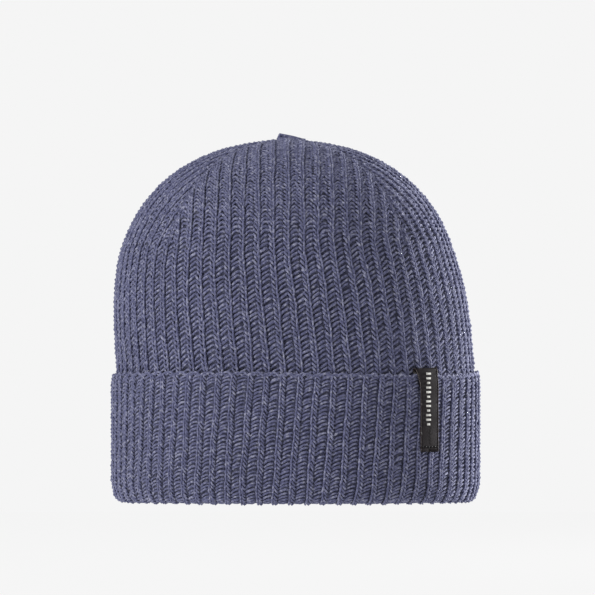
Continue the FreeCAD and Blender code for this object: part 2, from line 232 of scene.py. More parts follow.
def noise_node(tree, where, scale, detail, roughness):
    inputs = {"Vector": where, "Scale": scale, "Detail": detail, "Roughness": roughness}
    return add_node(tree, "TexNoise", inputs).outputs["Fac"]


def math_node(tree, operation, *values):
    return add_node(tree, "Math", dict(enumerate(values)), operation=operation).outputs[0]


def mix_node(tree, share, first, second):
    # The places of the factor and of the two colours
    return add_node(tree, "Mix", {0: share, 6: first, 7: second}, data_type="RGBA").outputs[2]


def range_node(tree, value, low, high, out_low=0.0, out_high=1.0):
    limits = {"From Min": low, "From Max": high, "To Min": out_low, "To Max": out_high}
    return add_node(tree, "MapRange", {"Value": value, **limits}).outputs["Result"]


def scale_node(tree, vector, factor):
    inputs = {0: vector, "Scale": factor}
    return add_node(tree, "VectorMath", inputs, operation="SCALE").outputs[0]


def group_node(tree, name, inputs):
    """A node that holds the named group, which is built when it is first needed."""
    held = bpy.data.node_groups.get(name) or GROUPS[name]()
    return add_node(tree, "Group", inputs, node_tree=held)


def heather_group():
    """Spun yarn's mixed colour: fine fibres, short flecks and slow dye changes."""
    group, start, end = new_group(
        "heather",
        {
            "Vector": None,
            "Main": (0.1, 0.1, 0.2, 1),
            "Pale": (0.2, 0.2, 0.3, 1),
            "Dark": (0.05, 0.05, 0.1, 1),
            "Pale Share": 0.5,
            "Dark Share": 0.5,
        },
        ("Color", "Height"),
    )
    where = start.outputs["Vector"]
    fine = noise_node(group, where, 2600.0, 3.0, 0.65)
    flecks = noise_node(group, where, 620.0, 2.0, 0.6)
    slow = noise_node(group, where, 26.0, 2.0, 0.5)
    mixed = start.outputs["Main"]
    for shade, edge in (("Pale", 0.72), ("Dark", 0.28)):
        share = range_node(group, flecks, 0.5, edge)
        share = math_node(group, "MULTIPLY", share, start.outputs[shade + " Share"])
        mixed = mix_node(group, share, mixed, start.outputs[shade])
    fibre = range_node(group, fine, 0.3, 0.7, 0.8, 1.2)
    drift = range_node(group, slow, 0.3, 0.7, 0.94, 1.06)
    bright = math_node(group, "MULTIPLY", fibre, drift)
    feed(group, end, {"Color": scale_node(group, mixed, bright), "Height": fine})
    return group


def weave_group():
    """Satin weave: fine threads along and across, a little uneven."""
    group, start, end = new_group(
        "satin_weave",
        {"Vector": None, "Color": (0.5, 0.5, 0.5, 1), "Threads": 15000.0},
        ("Color", "Height", "Roughness"),
    )
    where = start.outputs["Vector"]
    split = add_node(group, "SeparateXYZ", {0: where})
    weft = math_node(group, "MULTIPLY", split.outputs["Z"], start.outputs["Threads"])
    weft = math_node(group, "SINE", weft)
    wander = noise_node(group, where, 900.0, 2.0, 0.5)
    slow = noise_node(group, where, 120.0, 2.0, 0.5)
    height = math_node(group, "ADD", math_node(group, "MULTIPLY", weft, 0.3), wander)
    # Partly painted shade and highlight: the colour follows the bump's height, darker between the
    # weft threads and lighter on them; the wandering noise in that height and the slow noise give
    # the satin's own uneven tone.
    bright = range_node(group, height, 0.1, 0.9, 0.78, 1.22)
    bright = math_node(group, "MULTIPLY", bright, range_node(group, slow, 0.3, 0.7, 0.9, 1.1))
    scaled = scale_node(group, start.outputs["Color"], bright)
    rough = range_node(group, slow, 0.3, 0.7, 0.46, 0.62)
    feed(group, end, {"Color": scaled, "Height": height, "Roughness": rough})
    return group


def stitch_face_group():
    """Rows of small V's over a turned surface, for the cloth's inside."""
    group, start, end = new_group(
        "stitch_face", {"Vector": None, "Wales": 216.0, "Course": 0.00235}, ("Height",)
    )
    split = add_node(group, "SeparateXYZ", {0: start.outputs["Vector"]})
    angle = math_node(group, "ARCTAN2", split.outputs["Y"], split.outputs["X"])
    along = math_node(group, "MULTIPLY", angle, start.outputs["Wales"])
    wave = math_node(group, "SINE", along)
    rise = math_node(group, "DIVIDE", split.outputs["Z"], start.outputs["Course"])
    lifted = math_node(group, "ADD", rise, math_node(group, "MULTIPLY", wave, 0.28))
    ripple = math_node(group, "SINE", math_node(group, "MULTIPLY", lifted, 2 * math.pi))
    ripple = math_node(group, "MULTIPLY", ripple, 0.5)
    wale = math_node(group, "MULTIPLY", math_node(group, "COSINE", along), 0.3)
    feed(group, end, {"Height": math_node(group, "ADD", ripple, wale)})
    return group


GROUPS = {"heather": heather_group, "satin_weave": weave_group, "stitch_face": stitch_face_group}


# ---- materials


def material_base(name, roughness, sheen, sheen_roughness, sheen_tint, gloss=0.25):
    """A node material with its Principled shader, and the Object coordinates it reads."""
    made = bpy.data.materials.new(name)
    made.use_nodes = True
    tree = made.node_tree
    shader = tree.nodes["Principled BSDF"]
    feed(tree, shader, {"Roughness": roughness, "Specular IOR Level": gloss})
    if sheen:
        inputs = {"Sheen Weight": sheen, "Sheen Roughness": sheen_roughness}
        feed(tree, shader, {**inputs, "Sheen Tint": (*sheen_tint, 1)})
    where = tree.nodes.new("ShaderNodeTexCoord").outputs["Object"]
    return made, tree, shader, where


def finish_shader(tree, shader, colour, height, distance, strength, **inputs):
    """Gives a shader its colour, its bump of this height, and what else is named."""
    relief = {"Height": height, "Distance": distance, "Strength": strength}
    bump = add_node(tree, "Bump", relief).outputs["Normal"]
    feed(tree, shader, {"Base Color": colour, "Normal": bump, **inputs})


def colour4(colour, gain=1.0):
    return (colour[0] * gain, colour[1] * gain, colour[2] * gain, 1.0)


def heather_node(tree, where, gain, **shares):
    """The yarn's mixed colour, this much brighter or darker."""
    c = colours()
    shades = {"Main": c.yarn, "Pale": c.yarn_pale, "Dark": c.yarn_dark}
    shades = {label: colour4(shade, gain) for label, shade in shades.items()}
    return group_node(tree, "heather", {"Vector": where, **shades, **shares})


def yarn_material(name, gain=1.0):
    """Heathered wool-blend yarn."""
    if name in bpy.data.materials:
        return bpy.data.materials[name]
    made, tree, shader, where = material_base(name, 0.9, 0.35, 0.45, (0.62, 0.64, 0.80))
    node = heather_node(tree, where, gain, **{"Pale Share": 0.8, "Dark Share": 0.6})
    fibres = node.outputs["Height"]
    rough = range_node(tree, fibres, 0.3, 0.7, 0.8, 0.98)
    finish_shader(tree, shader, node.outputs["Color"], fibres, 0.00025, 0.8, Roughness=rough)
    return made


def lining_material(name, gain):
    """The cloth seen from inside, or, at a low gain, a darkened copy that paints the shade in the
    gaps between its stitches.
    """
    if name in bpy.data.materials:
        return bpy.data.materials[name]
    made, tree, shader, where = material_base(name, 0.95, 0.2, 0.5, (0.5, 0.52, 0.66))
    node = heather_node(tree, where, gain)
    gauge = {"Vector": where, "Wales": knit().ribs * 2.0, "Course": knit().crown_pitch}
    rows = group_node(tree, "stitch_face", gauge).outputs["Height"]
    # Painted shade and highlight: the colour follows the rows' height, as the bump does, darker in
    # the hollows between the stitches and lighter on their ridges.
    shade = range_node(tree, rows, -0.8, 0.8, 0.55, 1.35)
    shaded = scale_node(tree, node.outputs["Color"], shade)
    finish_shader(tree, shader, shaded, rows, 0.0006, 0.9)
    return made


def satin_material(name, shade, sheen, threads=15000.0, gloss=0.25):
    """Woven satin: threads sets how fine its weft is."""
    made, tree, shader, where = material_base(name, 0.42, sheen, 0.35, (0.8, 0.8, 0.8), gloss)
    inputs = {"Vector": where, "Color": colour4(shade), "Threads": threads}
    weave, height, rough = group_node(tree, "satin_weave", inputs).outputs
    finish_shader(tree, shader, weave, height, 0.00006, 0.6, Roughness=rough)
    return made


# ---- the stitches

# One rib of a course, from its knit wale's left side to the next: share of the rib across,
# courses up, millimetres out and swelling of the yarn
CROWN_STITCHES = np.array(
    [
        (0.245, -0.86, -1.45, 0.76), (0.225, -0.48, -0.30, 0.84),
        (0.125, 0.00, 0.34, 0.90), (0.030, 0.42, -0.16, 0.84),
        (0.045, 0.90, -1.45, 0.76), (0.295, 0.96, -1.30, 0.76),
        (0.348, 0.50, -0.14, 0.82), (0.332, 0.00, 0.16, 0.90),
        (0.314, -0.52, -0.20, 0.82), (0.295, -0.96, -1.25, 0.76),
        (0.420, -0.66, -1.55, 0.88), (0.490, -0.44, -0.95, 1.00),
        (0.590, -0.18, -0.64, 1.09), (0.710, 0.06, -0.72, 1.05),
        (0.830, 0.30, -0.60, 1.09), (0.930, 0.54, -0.88, 1.00),
        (1.060, -0.10, -1.60, 0.84),
    ]
)
CUFF_STITCHES = np.array(
    [
        (0.112, 1.00, -1.20, 0.80), (0.082, 0.54, -0.14, 0.88),
        (0.060, 0.00, 0.22, 0.95), (0.040, -0.50, -0.12, 0.88),
        (0.120, -0.98, -1.30, 0.80), (0.280, -0.92, -1.45, 0.78),
        (0.322, -0.48, -0.18, 0.86), (0.246, 0.00, 0.34, 0.92),
        (0.168, 0.48, -0.20, 0.86), (0.150, 0.95, -1.30, 0.78),
        (0.350, -0.40, -1.55, 0.88), (0.430, -0.60, -0.98, 0.96),
        (0.520, -0.24, -0.66, 1.05), (0.640, 0.06, -0.70, 1.02),
        (0.770, 0.24, -0.60, 1.05), (0.890, 0.36, -0.82, 0.98),
        (0.990, 0.10, -1.45, 0.84),
    ]
)
LOOP_POINTS = 10  # the points of a rib's course that make its knit loop
# Above the darts' feet the bars between the knit wales come to slant both ways
GORE_STITCHES = CROWN_STITCHES.copy()
GORE_STITCHES[LOOP_POINTS:, 1] = (-0.62, -0.30, 0.20, 0.52, 0.24, -0.12, -0.45)
TURNING_ROWS = 9  # the courses over which they change


# ---- the cloth's surfaces


def back_window(angle):
    """1 at the front of the hat, and 0 at the closing seam."""
    return 0.5 - 0.5 * np.sin(angle)


def turned(reach, angle, height):
    """Points by their distance from the hat's axis, angle in radians and height."""
    return np.stack(
        np.broadcast_arrays(reach * np.cos(angle), reach * np.sin(angle), height), axis=-1
    )


class Surface:
    """A turned profile as a table: by arc length, its radius, height and outward normal."""

    def __init__(self, radius, height, start=0.0):
        step = np.hypot(np.diff(radius), np.diff(height))
        self.arc = start + np.concatenate(([0.0], np.cumsum(step)))
        self.radius, self.height = radius, height
        slope_r = np.gradient(radius, self.arc)
        slope_z = np.gradient(height, self.arc)
        slope = np.hypot(slope_r, slope_z)
        self.out_r = slope_z / slope
        self.out_z = -slope_r / slope

    def at(self, arc, column):
        return np.interp(arc, self.arc, column)

    def place(self, angle, arc, out):
        """Points at an angle in radians, an arc length and a distance outwards."""
        radius = self.at(arc, self.radius) + out * self.at(arc, self.out_r)
        height = self.at(arc, self.height) + out * self.at(arc, self.out_z)
        return turned(radius, angle, height)

    def arc_at(self, height):
        return float(np.interp(height, self.height, self.arc))

    def twist(self, arc, angle):
        """The angle by which the ribs have wandered aside at an arc length."""
        return self.twist_rate * (arc - self.straight_arc) * back_window(angle)

    def off_wall(self, arc, out, half):
        """The distance outwards, with nothing in its way."""
        return out


class Crown(Surface):
    """The outside from the wall's foot up to the tip. Arc 0 is at the cuff's edge."""

    stitches = CROWN_STITCHES
    phase = math.radians(2.2)  # the groove right of a knit wale, from the front's middle
    knit_share = 0.40  # where that groove lies in its rib
    twist_rate = math.radians(-1.2) / 0.056
    straight_arc = 0.007  # where the ribs have wandered nowhere yet
    sway_seed = 0.0
    upward = 1
    least_arc = -math.inf
    # How a course rises and falls: size, times round, start, and turn from course to course
    waves = ((0.00025, 2, 0.0, 0.21), (0.00016, 5, 1.7, 0.33))

    def __init__(self):
        s, k = sizes(), knit()
        turn = np.linspace(0.0, math.radians(89.5), 1500)
        low = np.linspace(-s.cuff_top, 0.0, 40)[:-1]
        radius = s.wall_radius * np.cos(turn) ** (2 / s.crown_power)
        height = s.cuff_top + s.crown_rise * np.sin(turn) ** (2 / s.shoulder_power)
        height = height + s.peak_rise * np.exp(-((radius / s.peak_reach) ** 2))
        super().__init__(
            np.concatenate((np.full_like(low, s.wall_radius), radius)),
            np.concatenate((s.cuff_top + low, height)),
            start=-s.cuff_top,
        )
        self.round, self.yarn, self.pitch = s.wall_radius, k.crown_yarn, k.crown_pitch

    def place(self, angle, arc, out):
        s, points = sizes(), super().place(angle, arc, out)
        rise = (self.at(arc, self.height) - s.cuff_top) / s.lean_rise
        points[..., 0] -= s.lean * np.clip(rise, 0, 1)
        return points


# How far the cuff's edge dips: degrees from the front's middle to the wearer's left, millimetres
EDGE_DIPS = np.array(
    [(-180, 0.0), (-120, 0.3), (-90, 1.4), (-70, 0.6), (-45, 0.0), (-20, 0.2), (0, 0.6)]
    + [(25, 1.3), (45, 1.8), (60, 1.6), (75, 0.3), (90, -0.5), (115, 0.0), (180, 0.0)]
)
DIP_REACH = 0.026  # down the cuff from its edge


class Cuff(Surface):
    """The cuff's outside from its free edge down, round the fold and up inside."""

    stitches = CUFF_STITCHES
    phase = math.radians(1.4)  # first knit wale, from the front's middle
    knit_share = 0.18  # where that wale lies in its rib
    twist_rate = math.radians(-2.2) / 0.0485
    straight_arc = 0.006
    sway_seed = 1.0
    upward = -1  # arc lengths run down the cuff
    least_arc = 0.0006
    waves = ((0.00020, 3, 0.0, 0.23), (0.00014, 7, 0.5, 0.3))

    def __init__(self):
        s, k = sizes(), knit()
        low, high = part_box("cuff_fold")
        wall_inside = (high.x - low.x) / 2 - CUFF_TO_INSIDE
        self.fold = (s.cuff_radius - wall_inside) / 2
        height = np.linspace(s.cuff_top, self.fold, 120)
        curl = np.clip((height - s.cuff_top + CURL_REACH) / CURL_REACH, 0, 1) ** 2 * s.edge_curl
        turn = np.linspace(0.0, math.pi, 60)[1:]
        inside = np.linspace(self.fold, self.fold + 0.004, 8)[1:]
        centre = s.cuff_radius - self.fold
        radius = np.concatenate(
            (
                s.cuff_radius - curl,
                centre + self.fold * np.cos(turn),
                np.full_like(inside, centre - self.fold),
            )
        )
        rise = np.concatenate((height, self.fold - self.fold * np.sin(turn), inside))
        radius = radius - s.foot_draw * np.clip(1 - rise / s.foot_rise, 0, 1) ** 2
        super().__init__(radius, rise)
        # The profile runs downwards, so its left side is the outside
        self.out_r, self.out_z = -self.out_r, -self.out_z
        self.clear = s.wall_radius + WALL_GAP
        self.fold_arc = s.cuff_top - s.foot_rise
        self.round, self.yarn, self.pitch = s.cuff_radius, k.cuff_yarn, k.cuff_pitch

    def place(self, angle, arc, out):
        points = super().place(angle, arc, out)
        turn = np.degrees(angle) + 90
        dip = np.interp(turn, EDGE_DIPS[:, 0], EDGE_DIPS[:, 1] * MM, period=360)
        points[..., 2] -= dip * np.clip(1 - arc / DIP_REACH, 0, 1)
        return points

    def off_wall(self, arc, out, half):
        """The distance outwards that keeps a yarn or cloth of this half thickness off the wall."""
        least = self.clear + half - self.at(arc, self.radius)
        return np.where(arc < self.fold_arc, np.maximum(out, least), out)


# ---- yarn


def rib_course(first, last, rib, origin, stitches, pitch, rng):
    """One course of ribs: across, up and out of every point of its yarn, and its swelling."""
    starts = np.arange(math.floor((first - origin) / rib), math.ceil((last - origin) / rib))
    count, points = len(starts), len(stitches)
    loose = knit().unevenness
    loop = np.arange(points) < LOOP_POINTS

    def uneven(size_loop, size_bar):
        """The same chance shift for a loop's points, and another for the bar's after it."""
        of_loop = size_loop * rng.standard_normal((count, 1))
        of_bar = size_bar * rng.standard_normal((count, 1))
        return loose * np.where(loop[None, :], of_loop, of_bar)

    across = origin + (starts[:, None] + stitches[None, :, 0]) * rib
    across = across + uneven(0.00013, 0.00018)
    up = stitches[None, :, 1] * pitch * (1 + uneven(0.07, 0.12)) + uneven(0.00011, 0.00018)
    out = stitches[None, :, 2] * MM + uneven(0.00009, 0.00013)
    grain = loose * rng.standard_normal((3, count, points))
    across = across + 0.00005 * grain[0]
    up = up + 0.00006 * grain[1]
    out = out + 0.00004 * grain[2]
    swell = stitches[None, :, 3] * (1 + uneven(0.06, 0.09))
    swell = swell + 0.05 * loose * rng.standard_normal((count, points))
    return across.ravel(), up.ravel(), out.ravel(), swell.ravel()


def rib_sway(across, rib, height, seed):
    """How each rib wanders a little to its sides on its way up."""
    number = np.floor(across / rib)
    phase = np.mod(number * 2.399963 + seed, 2 * math.pi)
    slow = 0.00022 * np.sin(height / 0.013 + phase)
    return slow + 0.00012 * np.sin(height / 0.0047 + 2 * phase)


def new_yarn(name, body, node, strands, radius, material, slot="rib_knit", sides=1):
    """A curve object whose splines are strands: (points, swelling) pairs."""
    data = bpy.data.curves.new(name, "CURVE")
    data.dimensions = "3D"
    data.bevel_depth = radius
    data.bevel_resolution = sides
    data.use_fill_caps = True
    for points, swell in strands:
        spline = data.splines.new("POLY")
        spline.points.add(len(points) - 1)
        flat = np.ones((len(points), 4))
        flat[:, :3] = points
        spline.points.foreach_set("co", flat.ravel())
        spline.points.foreach_set("radius", np.ones(len(points)) * swell)
        spline.use_smooth = True
    made = bpy.data.objects.new(name, data)
    bpy.context.collection.objects.link(made)
    data.materials.append(material)
    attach(made, body)
    if node:
        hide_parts(node)
    return made


def round_courses(surface, rows, first_arc, seed):
    """These rows' courses round the hat, from one side of the back seam to the other."""
    rng = np.random.default_rng(seed)
    rib = 2 * math.pi * surface.round / knit().ribs
    half_way = math.pi * surface.round
    origin = surface.phase * surface.round - surface.knit_share * rib
    inset = -surface.yarn - SUNK
    seam = SEAM_HALF / surface.round
    strands = []
    for row in rows:
        arc = first_arc + (row + 0.5) * surface.pitch
        across, up, out, swell = rib_course(
            -half_way, half_way, rib, origin, surface.stitches, surface.pitch, rng
        )
        across = across + rib_sway(across - origin, rib, arc, surface.sway_seed)
        angle = -math.pi / 2 + across / surface.round
        wave = sum(
            size * np.sin(times * angle + start + step * row)
            for size, times, start, step in surface.waves
        )
        angle = angle + surface.twist(arc, angle)
        arcs = np.maximum(arc + surface.upward * up + wave, surface.least_arc)
        depth = surface.off_wall(arcs, out + inset, surface.yarn * 0.9)
        points = surface.place(angle, arcs, depth)
        inside = (angle > -1.5 * math.pi + seam) & (angle < math.pi / 2 - seam)
        strands.append((points[inside], swell[inside]))
    return strands


# Each gore's middle in degrees, and its two sides from there
GORES = {
    "front_gore": (-90, -45, 45),
    "left_gore": (0, -45, 45),
    "right_gore": (180, -45, 45),
    "back_left_gore": (90, -45, 0),
    "back_right_gore": (90, 0, 45),
}


def gore_courses(crown, name):
    """One gore's courses: its ribs run beside its middle line and end on its darts."""
    s, ribs = sizes(), knit().ribs
    rng = np.random.default_rng(SEED + len(name))
    middle, low, high = GORES[name]
    start = crown.arc_at(s.dart_foot)
    foot_radius = float(crown.at(start, crown.radius))
    rib = 2 * math.pi * foot_radius / ribs
    toward = math.radians(middle)
    # The wall's ribs are counted from the front's middle, so this is their phase at the gore's
    phase = math.fmod(crown.phase - (toward + math.pi / 2), 2 * math.pi / ribs)
    groove = (phase + float(crown.twist(start, toward))) * foot_radius
    origin = groove - crown.knit_share * rib
    reach = foot_radius * math.pi / 4
    inset = -crown.yarn - SUNK
    strands = []
    last = float(crown.arc[-1])
    row = 0
    while True:
        arc = start + (row + 0.5) * crown.pitch
        row += 1
        radius = float(crown.at(arc, crown.radius))
        if arc > last or radius < s.tip_radius * 0.75:
            break
        slant = min(row / TURNING_ROWS, 1.0)
        stitches = CROWN_STITCHES * (1 - slant) + GORE_STITCHES * slant
        across, up, out, swell = rib_course(
            -reach, reach, rib, origin, stitches, crown.pitch, rng
        )
        across = across + rib_sway(across - origin, rib, arc, crown.sway_seed)
        wave = 0.00020 * np.sin(across / 0.021 + 0.4 * row)
        arcs = np.minimum(arc + up + wave, last)
        angle = across / np.maximum(crown.at(arcs, crown.radius), 0.001)
        points = crown.place(angle + toward, arcs, out + inset)
        seam = SEAM_HALF / radius
        inside = (angle > math.radians(low) + seam) & (angle < math.radians(high) - seam)
        if inside.sum() > 3:
            strands.append((points[inside], swell[inside]))
    return strands


def seam_chain(surface, angle, first, last, pitch, half_width, sunk):
    """A chain of small V links up or down a seam."""
    rng = np.random.default_rng(SEED + 7)
    strands = []
    count = int((last - first) / pitch)
    steps = np.array([-1.0, -0.7, 0.0, 0.7, 1.0])
    rise = np.array([0.62, 0.1, -0.62, 0.1, 0.62])
    stand = np.array([-0.5, 0.25, -0.2, 0.25, -0.5])
    for row in range(count):
        arc = first + (row + 0.5) * pitch
        arcs = arc + rise * pitch * (1.05 + 0.08 * rng.standard_normal())
        radius = np.maximum(surface.at(arcs, surface.radius), 0.002)
        turn = angle + (steps * half_width * (1 + 0.08 * rng.standard_normal())) / radius
        points = surface.place(turn, arcs, sunk + stand * 0.0006)
        strands.append((points, 1.0 + 0.06 * rng.standard_normal()))
    return strands


# ---- operators


class KNIT_OT_wall(bpy.types.Operator):
    """Knits the wall's courses, under the cuff and above it"""

    bl_idname = "knit.wall"
    bl_label = "Wall courses"

    def execute(self, context):
        crown = Crown()
        material = yarn_material("crown_yarn")
        first_arc = WALL_FOOT_ROW - sizes().cuff_top
        count = round((crown.arc_at(sizes().dart_foot) - first_arc) / crown.pitch)
        strands = round_courses(crown, range(count), first_arc, SEED)
        below = round(-first_arc / crown.pitch)
        third = math.ceil((count - below) / 3)
        start = 0
        for name, end, node in (
            ("under_cuff_low", below // 2, "lower_wall"),
            ("under_cuff_high", below, "lower_wall"),
            ("wall_low", below + third, "wall_band"),
            ("wall_middle", below + 2 * third, "wall_band"),
            ("wall_high", count, "wall_band"),
        ):
            rows = strands[start:end]
            new_yarn("%s_courses" % name, "crown", node, rows, crown.yarn, material)
            start = end
        return {"FINISHED"}


class KNIT_OT_gores(bpy.types.Operator):
    """Knits the five gores of the crown"""

    bl_idname = "knit.gores"
    bl_label = "Crown gores"

    def execute(self, context):
        crown = Crown()
        material = yarn_material("crown_yarn")
        for name in GORES:
            rows = gore_courses(crown, name)
            new_yarn("%s_courses" % name, "crown", name, rows, crown.yarn, material)
        return {"FINISHED"}


class KNIT_OT_seams(bpy.types.Operator):
    """Links the four darts and the closing seam"""

    bl_idname = "knit.seams"
    bl_label = "Darts and closing seam"

    def execute(self, context):
        s, crown, cuff = sizes(), Crown(), Cuff()
        material = yarn_material("seam_yarn", gain=0.9)
        linked = {"material": material, "slot": "linked_seam", "sides": 0}
        start = crown.arc_at(s.dart_foot)
        end = float(np.interp(-s.tip_radius, -crown.radius, crown.arc))
        darts = {"front_left": -45, "back_left": 45, "back_right": 135, "front_right": -135}
        for place, degrees in darts.items():
            turn = math.radians(degrees)
            rows = seam_chain(crown, turn, start, end, pitch=0.0021, half_width=0.001, sunk=-0.0014)
            node = "dart_seam_%s" % place
            new_yarn("dart_%s" % place, "crown", node, rows, 0.00062, **linked)
        back = math.pi / 2
        low = 0.004 - s.cuff_top
        rows = seam_chain(crown, back, low, end, pitch=0.0022, half_width=0.0011, sunk=-0.0012)
        ridge = crown.place(np.full(90, back), np.linspace(low, end, 90), -0.0031)
        rows.append((ridge, 1.2 + 0.12 * np.sin(np.arange(90) * 1.9)))
        new_yarn("closing_seam", "crown", "back_seam", rows, 0.00064, **linked)
        rows = seam_chain(cuff, back, 0.002, 0.068, pitch=0.0019, half_width=0.0011, sunk=-0.0009)
        new_yarn("cuff_closing_seam", "cuff", "cuff_seam", rows, 0.0006, **linked)
        return {"FINISHED"}


class KNIT_OT_cuff(bpy.types.Operator):
    """Knits the turned-up cuff and its fold"""

    bl_idname = "knit.cuff"
    bl_label = "Cuff courses"

    def execute(self, context):
        cuff = Cuff()
        material = yarn_material("cuff_yarn")
        rows = int((cuff.arc[-1] - CUFF_FIRST_ROW) / cuff.pitch)
        fold_row = int((sizes().cuff_top - cuff.fold - CUFF_FIRST_ROW) / cuff.pitch)
        third = math.ceil(fold_row / 3)
        first = 0
        for name, last, node in (
            ("cuff_upper", third, "cuff_band"),
            ("cuff_middle", 2 * third, "cuff_band"),
            ("cuff_lower", fold_row, "cuff_band"),
            ("fold", rows, "cuff_fold"),
        ):
            strands = round_courses(cuff, range(first, last), CUFF_FIRST_ROW, SEED + 100 + first)
            new_yarn("%s_courses" % name, "cuff", node, strands, cuff.yarn, material)
            first = last
        return {"FINISHED"}


class KNIT_OT_edge(bpy.types.Operator):
    """Casts on the cuff's free edge"""

    bl_idname = "knit.edge"
    bl_label = "Cast-on edge"

    def execute(self, context):
        cuff, ribs = Cuff(), knit().ribs
        rng = np.random.default_rng(SEED + 5)
        rib = 2 * math.pi / ribs
        points = ribs * 20
        turns = np.linspace(-1.5 * math.pi + 0.004, math.pi / 2 - 0.004, points)
        origin = cuff.phase - cuff.knit_share * rib - math.pi / 2
        strands = []
        for shift, depth in ((0.0, -0.0004), (0.31, -0.0013)):
            wander = np.interp(turns, turns[::25], rng.standard_normal(len(turns[::25])))
            share = np.mod((turns - origin) / rib + shift + 0.05 * wander, 1.0)
            over_band = np.sin(np.pi * np.clip((share - WALE) / (1 - WALE), 0, 1))
            over_wale = 0.55 * np.sin(np.pi * np.clip(share / WALE, 0, 1))
            arch = np.where(share > WALE, over_band, over_wale)
            arcs = 0.0020 - 0.0015 * arch + 0.00016 * wander
            swell = 0.90 + 0.12 * arch + 0.04 * rng.standard_normal(points)
            out = cuff.off_wall(arcs, depth - 0.0006 * (1 - arch), 0.0006)
            strands.append((cuff.place(turns, arcs, out), swell))
        material = yarn_material("cuff_yarn")
        new_yarn("cast_on_edge", "cuff", "cuff_edge", strands, 0.00062, material, sides=0)
        return {"FINISHED"}


def mesh_object(name, bm, *materials):
    """A smooth object of this built mesh, which it uses up."""
    data = bpy.data.meshes.new(name)
    bm.to_mesh(data)
    bm.free()
    data.shade_smooth()
    for material in materials:
        data.materials.append(material)
    made = bpy.data.objects.new(name, data)
    bpy.context.collection.objects.link(made)
    return made


def lining(name, surface, first, last, rows, ribbing, sunk, thickness, closed=False):
    """A ribbed skin behind a surface's stitches; a closed one's ribs fade out to its top."""
    ribs = knit().ribs
    bm = bmesh.new()
    bmesh.ops.create_grid(bm, x_segments=ribs * 4, y_segments=rows, size=0.5)
    flat = np.array([v.co for v in bm.verts])
    turn = -1.5 * math.pi + (flat[:, 0] + 0.5) * 2 * math.pi
    up = flat[:, 1] + 0.5
    arcs = first + (last - first) * up
    rib = 2 * math.pi / ribs
    wave = ribbing * np.cos(2 * np.pi * (turn + math.pi / 2 - surface.phase) / rib)
    if closed:
        wave = wave * np.clip((0.97 - up) / 0.3, 0, 1)
    depth = surface.off_wall(arcs, sunk + wave, LINING_CLEAR)
    for vert, point in zip(bm.verts, surface.place(turn + surface.twist(arcs, turn), arcs, depth)):
        vert.co = point
    bmesh.ops.remove_doubles(bm, verts=bm.verts, dist=0.00002)
    bmesh.ops.recalc_face_normals(bm, faces=bm.faces)
    # Painted shade: the first material darkens the yarn's colour to 0.35, so the sheet shows as the
    # shadow in the gaps between the stitches; the second, at 0.85, is the cloth seen from inside.
    faces = lining_material("knit_lining", 0.35), lining_material("knit_inside", 0.85)
    made = mesh_object(name, bm, *faces)
    wall = made.modifiers.new("Thickness", "SOLIDIFY")
    wall.thickness = thickness
    wall.offset = 0.0
    wall.material_offset = 1
    bpy.context.view_layer.update()
    graph = bpy.context.evaluated_depsgraph_get()
    data = bpy.data.meshes.new_from_object(made.evaluated_get(graph))
    made.modifiers.clear()
    made.data = data
    return made


class KNIT_OT_lining(bpy.types.Operator):
    """Backs the stitches with the cloth's inside, a sheet whose darkened face paints the shade
    between them
    """

    bl_idname = "knit.lining"
    bl_label = "Cloth inside"

    def execute(self, context):
        s, crown, cuff = sizes(), Crown(), Cuff()
        foot, low, tip = 0.0030 - s.cuff_top, crown.arc_at(s.cuff_top), float(crown.arc[-1])
        cloth = {"ribbing": -0.0004, "sunk": -0.0021, "thickness": 0.0006}
        made = lining("crown_lining", crown, low, tip, rows=60, closed=True, **cloth)
        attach(made, "crown")
        made = lining("wall_lining", crown, foot, low, rows=24, **cloth)
        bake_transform(made)
        last = float(cuff.arc[-1])
        cloth = {"ribbing": 0.00018, "sunk": -0.00175, "thickness": 0.0005}
        made = lining("cuff_lining", cuff, 0.0012, last, rows=44, **cloth)
        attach(made, "cuff")
        return {"FINISHED"}


# The tip's fastened ends: millimetres to the wearer's left of the tip, and over the crown's top
TUFT = np.array(
    [(9.5, -0.5), (6.5, 0.45), (4.0, 1.15), (1.5, 1.75), (-1.0, 2.25)]
    + [(-2.7, 2.6), (-3.7, 2.95), (-4.1, 2.3), (-4.5, 1.3), (-4.9, 0.2)]
)


